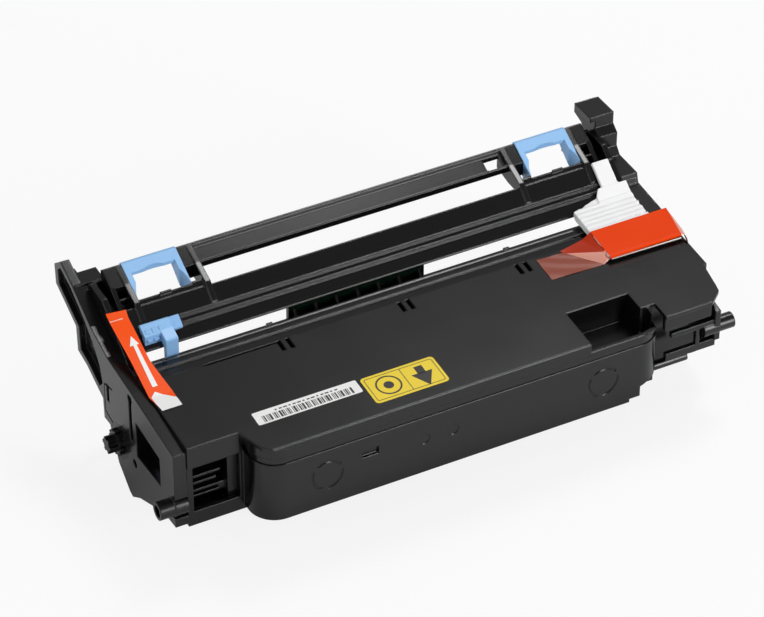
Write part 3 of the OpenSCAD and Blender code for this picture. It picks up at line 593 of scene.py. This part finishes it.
def crease_point(u, v):
    """The raised fold: a flat cone from its tip on the cover to its open end at the foam."""
    end = part_way(CREASE_FOOT, CREASE_TOP, u)
    x, y, z = part_way(APEX, end, v)
    return x, y, z + 0.9 * v * math.sin(math.pi * u)


def climb_point(u, v):
    """The part that climbs from the cover to the foam's left edge."""
    low = on_line([APEX, CREASE_TOP, (108.8, 55.0, 73.6)], v)
    high = on_line([(89.6, 67.9, 70.7), (103.5, 69.2, 72.5), (108.9, 69.9, 75.3)], v)
    x, y, z = part_way(low, high, u)
    return x, y, z - 0.5 * math.sin(math.pi * u) * v


def gather_point(u, v):
    """The puckered end between the crease and the foam's front corner, pale with painted highlight."""
    low = part_way(CREASE_FOOT, (109.2, 50.4, 71.2), v)
    high = part_way(CREASE_TOP, (109.0, 55.0, 73.6), v)
    x, y, z = part_way(low, high, u)
    return x, y, z + 0.5 * math.sin(9 * u) * math.sin(math.pi * v)


finish(thin_sheet("film_tail", 12, 20, tail_point), film_single, "film_tail")
finish(thin_sheet("film_painted_highlight", 10, 16, crease_point), film_painted_highlight)
finish(thin_sheet("film_climb", 12, 20, climb_point), film_over_black)
finish(thin_sheet("film_gather", 16, 8, gather_point), film_painted_highlight)

# %% [markdown]
# The transit tape is stuck to the cover and to the deck's upper edge and spans the gap between them.
# It has a painted highlight at a crease near its rear end, a white tab at its front end and a printed
# white arrow. The strip is a grid whose rows follow the tape's line, with a slight sag, and the print
# is laid on it.

# %% Orange tape
TAPE_ENDS = (47.2, 107.2)
TAPE_LIFT = 0.12
TAPE_FOOT_Y = 57.5
TAPE_REST = [(102.2, 85.1), (107.4, 86.95)]
TAPE_SAG = 0.9
PRINT_LIFT = 0.22
TAPE_EDGES = [
    (47.2, -141.9, -131.7),
    (58.0, -143.9, -131.6),
    (78.0, -143.3, -134.4),
    (92.0, -143.6, -134.2),
    (102.5, -144.0, -134.3),
    (107.2, -143.8, -133.6),
]


def between(table, y):
    """Values of a table of rows (y, values...) at a depth y."""
    for low, high in zip(table, table[1:]):
        if y <= high[0] or high is table[-1]:
            share = (y - low[0]) / (high[0] - low[0])
            return [p + (q - p) * share for p, q in zip(low[1:], high[1:])]


def tape_height(y):
    """Height of the tape's face: on the cover, then taut with a slight sag, then on the deck."""
    if y <= TAPE_FOOT_Y:
        return cover_top(y) + TAPE_LIFT
    foot = (TAPE_FOOT_Y, cover_top(TAPE_FOOT_Y) + TAPE_LIFT)
    height = between([foot, *TAPE_REST], y)[0]
    free = (y - foot[0]) / (TAPE_REST[0][0] - foot[0])
    return height - (TAPE_SAG * math.sin(math.pi * free) if free < 1 else 0.0)


def tape_point(u, v):
    """The strip from its front end to its rear end."""
    y = TAPE_ENDS[0] + (TAPE_ENDS[1] - TAPE_ENDS[0]) * v
    left, right = between(TAPE_EDGES, y)
    x = left + (right - left) * u
    skew = 1.4 * (0.5 - u) * v
    return x, y + skew, tape_height(y) + 0.15 * math.sin(9 * v) * (u - 0.5)


def tape_patch(name, rows, along):
    """A thin printed patch on the tape: rows are (y, left, right)."""
    ends = rows[0][0], rows[-1][0]

    def point(u, v):
        y = ends[0] + (ends[1] - ends[0]) * v
        left, right = between(rows, y)
        return left + (right - left) * u, y, tape_height(y) + PRINT_LIFT

    return thin_sheet(name, 4, along, point, 0.03)


finish(thin_sheet("transit_tape", 12, 60, tape_point, 0.12), tape_orange, "transit_tape")
shaft = tape_patch("arrow_shaft", [(63.0, -139.8, -137.1), (88.0, -138.5, -136.7)], 24)
head = tape_patch("arrow_head", [(87.6, -140.3, -135.4), (92.6, -137.5, -137.4)], 8)
finish(joined("tape_arrow", [shaft, head]), paper_white)
TAB = [
    (46.9, -142.1, -131.5),
    (53.0, -142.8, -131.6),
    (57.6, -143.0, -137.0),
    (60.2, -140.0, -139.8),
]
finish(tape_patch("tape_tab", TAB, 20), paper_white)
# Painted highlight: a flat pale strip where the tape bends near its rear end.
FOLD_HIGHLIGHT = [(102.3, -144.0, -134.3), (102.9, -144.0, -134.3)]
finish(tape_patch("tape_fold_highlight", FOLD_HIGHLIGHT, 2), film_painted_highlight)

# %% [markdown]
# Labels: one of coated paper with a row of bars and one of yellow vinyl with a border, a ring and an
# arrow, all of them plain shapes. Each is a block with rounded corners, laid on the cover's slope.
# Printing is a few hundredths of a millimetre of ink, so it is modelled as thin plates on the label.

# %% Labels
SLOPE = math.atan(COVER_SLOPE)
LABEL_T = 0.15
INK_T = 0.04


def lay(piece, name, x, y, lift):
    """Lay a piece that was modelled flat round the origin on the cover."""
    piece.rotation_euler.x = SLOPE
    piece.location = place(x, y, cover_top(y) + lift)
    return settle(piece, name)


def plate(width, depth, height, corner):
    """A flat block round the origin with rounded corners, in millimetres."""
    bpy.ops.object.select_all(action="DESELECT")
    bpy.ops.mesh.primitive_cube_add(size=1.0)
    piece = bpy.context.object
    piece.scale = (width * MM, depth * MM, height * MM)
    piece.location.z = height / 2 * MM
    settle(piece, "plate")
    if corner:
        pick(piece, "EDGE", lambda x, y, z: abs(z - height / 2) < height / 4)
        bpy.ops.mesh.bevel(offset=corner * MM, segments=6)
        bpy.ops.object.mode_set(mode="OBJECT")
    return piece


def frame_of(width, depth, corner, stroke):
    """A printed outline with rounded corners."""
    piece = plate(width, depth, INK_T, corner)
    pick(piece, "FACE", lambda x, y, z: z > INK_T * 0.9 or z < INK_T * 0.1)
    bpy.ops.mesh.inset(thickness=stroke * MM)
    bpy.ops.mesh.delete(type="FACE")
    bpy.ops.object.mode_set(mode="OBJECT")
    return piece


def disc(radius, height, inner=0.0, corners=48):
    """A printed disc, ring or, with three corners, a triangle."""
    bpy.ops.object.select_all(action="DESELECT")
    bpy.ops.mesh.primitive_circle_add(vertices=corners, radius=radius * MM, fill_type="NGON")
    piece = bpy.context.object
    bpy.ops.object.mode_set(mode="EDIT")
    bpy.ops.mesh.select_all(action="SELECT")
    if inner:
        bpy.ops.mesh.inset(thickness=(radius - inner) * MM)
        bpy.ops.mesh.delete(type="FACE")
    bpy.ops.object.mode_set(mode="OBJECT")
    apply(piece, "SOLIDIFY", thickness=height * MM, offset=1.0)
    return piece


YELLOW_AT = (-26.4, 16.3)
bar_label = lay(plate(56.2, 9.0, LABEL_T, 0.8), "bar_label", -76.5, 22.1, 0.0)
finish(bar_label, paper_white, "bar_label")
yellow_label = lay(plate(40.2, 19.4, LABEL_T, 2.0), "yellow_label", *YELLOW_AT, 0.0)
finish(yellow_label, vinyl_yellow, "yellow_label")

# %% [markdown]
# The bars are plain and code nothing: one bar is modelled and copied, each copy with its own mesh and
# its own width, from two short lists that repeat out of step. A row of small blocks stands above.

# %% Bars on the white label
BARS = (-101.0, -52.2)
BAR_Y, SMALL_Y = 20.7, 24.4
BAR_WIDTHS = [0.35, 0.75, 0.35, 0.35, 1.1, 0.35, 0.75, 0.35, 1.1, 0.75, 0.35]
BAR_GAPS = [0.4, 0.4, 0.8, 0.4, 0.4, 1.0, 0.4, 0.5, 0.8]
one_bar = plate(1.0, 4.4, INK_T, 0)
bars = []
x = BARS[0]
while x < BARS[1]:
    width = BAR_WIDTHS[len(bars) % len(BAR_WIDTHS)]
    bar = one_bar.copy()
    bar.data = one_bar.data.copy()
    bpy.context.scene.collection.objects.link(bar)
    bar.scale.x = width
    bars.append(lay(bar, "bar", x + width / 2, BAR_Y, LABEL_T))
    x += width + BAR_GAPS[len(bars) % len(BAR_GAPS)]
bpy.data.objects.remove(one_bar)
for k in range(14):
    small = plate(1.1 + 0.5 * (k % 3), 0.8, INK_T, 0)
    bars.append(lay(small, "mark", -92.5 + 2.5 * k, SMALL_Y, LABEL_T))
finish(joined("bar_print", bars), ink)

# %% [markdown]
# The yellow label carries a thin border, a divider, a ring with a dot and an arrow. They are plain
# shapes that stand for print without saying anything: flat plates and discs of ink.

# %% Plain shapes on the yellow label
shapes = [
    lay(frame_of(37.4, 16.6, 1.2, 0.35), "border", *YELLOW_AT, LABEL_T),
    lay(plate(0.35, 16.0, INK_T, 0), "divider", -25.6, 16.3, LABEL_T),
    lay(disc(6.7, INK_T, inner=5.8), "ring", -35.1, 16.4, LABEL_T),
    lay(disc(2.6, INK_T), "dot", -35.1, 16.4, LABEL_T),
    lay(plate(4.4, 5.6, INK_T, 0), "arrow_shaft", -16.4, 19.6, LABEL_T),
]
arrow = disc(6.6, INK_T, corners=3)
arrow.rotation_euler.z = math.pi
settle(arrow, "arrow")
shapes.append(lay(arrow, "arrow", -16.4, 14.2, LABEL_T))
finish(joined("yellow_print", shapes), ink)

# %% [markdown]
# The cover carries rows of raised marks, barely a shade darker than the face round them. They are
# plain dashes of uneven length here, a tenth of a millimetre or so high, with three crossed squares
# at the right and a loose group of dashes at the left. They say nothing.

# %% Raised marks on the cover
ROWS = [(-47, 57, 45.6), (-56, 61, 41.4), (-70, 71, 36.4), (-80, 68, 31.6)]
DASHES = [1.8, 3.1, 1.2, 2.4, 3.8, 1.5, 2.2, 1.0, 2.9]
LEFT_GROUP = [(0, 0), (4, 2), (8, -1), (3, -4), (9, 4), (13, 1), (-3, 3), (12, -5)]
SQUARES = (100.5, 38.4, 11.6)
RELIEF_T = 0.12
marks = []
for start, end, y in ROWS:
    x = start
    while x < end:
        length = DASHES[len(marks) % len(DASHES)]
        marks.append(lay(plate(length, 1.5, RELIEF_T, 0), "dash", x + length / 2, y, 0.0))
        x += length + (1.0 if len(marks) % 4 else 1.9)
for k in range(3):
    x, y = SQUARES[0] + SQUARES[2] * k, SQUARES[1]
    marks.append(lay(frame_of(10.4, 11.6, 0.6, 0.7), "square", x, y, RELIEF_T - INK_T))
    for turn in (0.8, -0.8):
        stroke = plate(12.0, 0.8, RELIEF_T, 0)
        stroke.rotation_euler.z = turn
        settle(stroke, "stroke")
        marks.append(lay(stroke, "stroke", x, y, 0.0))
for k, (dx, dy) in enumerate(LEFT_GROUP):
    dash = plate(3.0, 1.2 + 0.5 * (k % 2), RELIEF_T, 0)
    marks.append(lay(dash, "dash", -120 + dx, 39 + dy, 0.0))
finish(joined("cover_relief", marks), abs_relief)

# %% [markdown]
# The wire cleaner's top carries small raised pads, so that a finger doesn't slip. Each is a small
# block on the deck's slope, sunk a little into the slider's top and bevelled. They ride with it.

# %% Pads on the wire cleaner
TOP, SHOULDER = 5.3, 6.0  # height of the slider's top over the deck, and where its front slope ends
LOW_TOP = 3.2
PADS = [(-128.6, 8.4), (-125.0, 8.4), (-121.4, 8.4), (-128.6, 4.9), (-125.0, 4.9), (-116.2, 10.6)]
pads = []
for x, up in PADS:
    lift = TOP - 0.15 * (up - SHOULDER) if up >= SHOULDER else TOP * (up - 2.7) / 3.3
    if x > -118:
        lift = LOW_TOP
    pad = deck_block("pad", (x - 1.4, x + 1.4), (up - 1.3, up + 1.3), (lift - 0.9, lift + 0.35))
    apply(pad, "BEVEL", width=0.25 * MM, segments=2)
    pads.append(pad)
finish(joined("cleaner_pads", pads), abs_blue, body="wire_cleaner")

# %% [markdown]
# Behind the ribs of the left bay the moulding goes on as a floor and a rear wall. A slab with its
# rear edge drawn back and then up closes the view to the table there.

# %% Floor of the left bay
BAY_WALL_T, BAY_WALL_H = 1.6, 26.0
bay_floor = box("left_bay_floor", (-142.0, 24.2, 20.4), (-120.6, 46.0, 22.2))
pick(bay_floor, "FACE", lambda x, y, z: y > 45)
bpy.ops.mesh.extrude_region_move()
bpy.ops.transform.translate(value=(0, BAY_WALL_T * MM, 0))
bpy.ops.object.mode_set(mode="OBJECT")
pick(bay_floor, "FACE", lambda x, y, z: z > 22 and y > 46)
bpy.ops.mesh.extrude_region_move(TRANSFORM_OT_translate={"value": (0, 0, BAY_WALL_H * MM)})
bpy.ops.object.mode_set(mode="OBJECT")
apply(bay_floor, "BEVEL", width=0.2 * MM, segments=2)
finish(bay_floor, abs_black)

# %% [markdown]
# The stage is a plain pale floor. To the camera, most of it glows at a strength of 1, so that it comes
# out white with no more light on the unit; the rest is real paper, which keeps the unit's shadow.

# %% Stage
FLOOR_SIZE = 12.0
GLOW_SHARE = 0.85
bpy.ops.object.select_all(action="DESELECT")
bpy.ops.mesh.primitive_plane_add(size=FLOOR_SIZE, location=(0, 0, -0.0002))
floor = bpy.context.object
floor.name = "floor"
paper, tree, shader = material("seamless_paper", "#f4f4f6", 0.9)
rays = add(tree, "ShaderNodeLightPath")
seen = add(
    tree,
    "ShaderNodeMath",
    [(0, rays.outputs["Is Camera Ray"]), (1, rays.outputs["Is Transmission Ray"])],
    operation="MAXIMUM",
)
glow = add(tree, "ShaderNodeEmission", Strength=1.0, Color=(1, 1, 1, 1))
share = add(tree, "ShaderNodeMath", [(0, seen.outputs[0])], operation="MULTIPLY")
share.inputs[1].default_value = GLOW_SHARE
layers = [(0, share.outputs[0]), (1, shader.outputs[0]), (2, glow.outputs[0])]
mix = add(tree, "ShaderNodeMixShader", layers)
tree.links.new(mix.outputs[0], tree.nodes["Material Output"].inputs["Surface"])
floor.data.materials.append(paper)
print("floor:", FLOOR_SIZE, "m square")

# %% [markdown]
# Soft studio light. The key box stands high on the right, between the directions that cover and rail
# deck mirror to the camera, so that both stay dark. The front box stands low, where only edges that
# face half way to it mirror it. A weak box on the left lights the end plate. The surroundings are
# pale near the floor and dim overhead, as in a booth with an open top.

# %% Lights
LIGHTS = {
    "key_box": ((0.74, 0.56, 1.79), (0.6, 0.6), 16.0),
    "left_box": ((-1.6, -0.3, 0.8), (0.9, 0.7), 5.0),
    "front_box": ((0.72, -1.62, 0.62), (0.5, 0.9), 16.0),
}
AIM = Vector((0, 0, 0.05))
for name, (at, size, watts) in LIGHTS.items():
    bpy.ops.object.light_add(type="AREA", location=at)
    lamp = bpy.context.object
    lamp.name = name
    lamp.data.shape = "RECTANGLE"
    lamp.data.size, lamp.data.size_y = size
    lamp.data.energy = watts
    lamp.rotation_euler = (AIM - Vector(at)).to_track_quat("-Z", "Y").to_euler()
print("lights:", len(LIGHTS))

# %% Surroundings
WORLD_LOW, WORLD_HIGH = 0.62, 0.14
world = bpy.data.worlds.new("pale_world")
bpy.context.scene.world = world
world.use_nodes = True
tree = world.node_tree
coords = add(tree, "ShaderNodeTexCoord")
height = add(tree, "ShaderNodeSeparateXYZ", [(0, coords.outputs["Generated"])])
level = add(
    tree,
    "ShaderNodeMapRange",
    [("Value", height.outputs["Z"])],
    To_Min=WORLD_LOW,
    To_Max=WORLD_HIGH,
)
background = tree.nodes["Background"]
background.inputs["Color"].default_value = (1, 1, 1, 1)
tree.links.new(level.outputs["Result"], background.inputs["Strength"])
bpy.context.scene.view_settings.view_transform = "Standard"
print("surroundings from", WORLD_LOW, "at the floor to", WORLD_HIGH, "overhead")
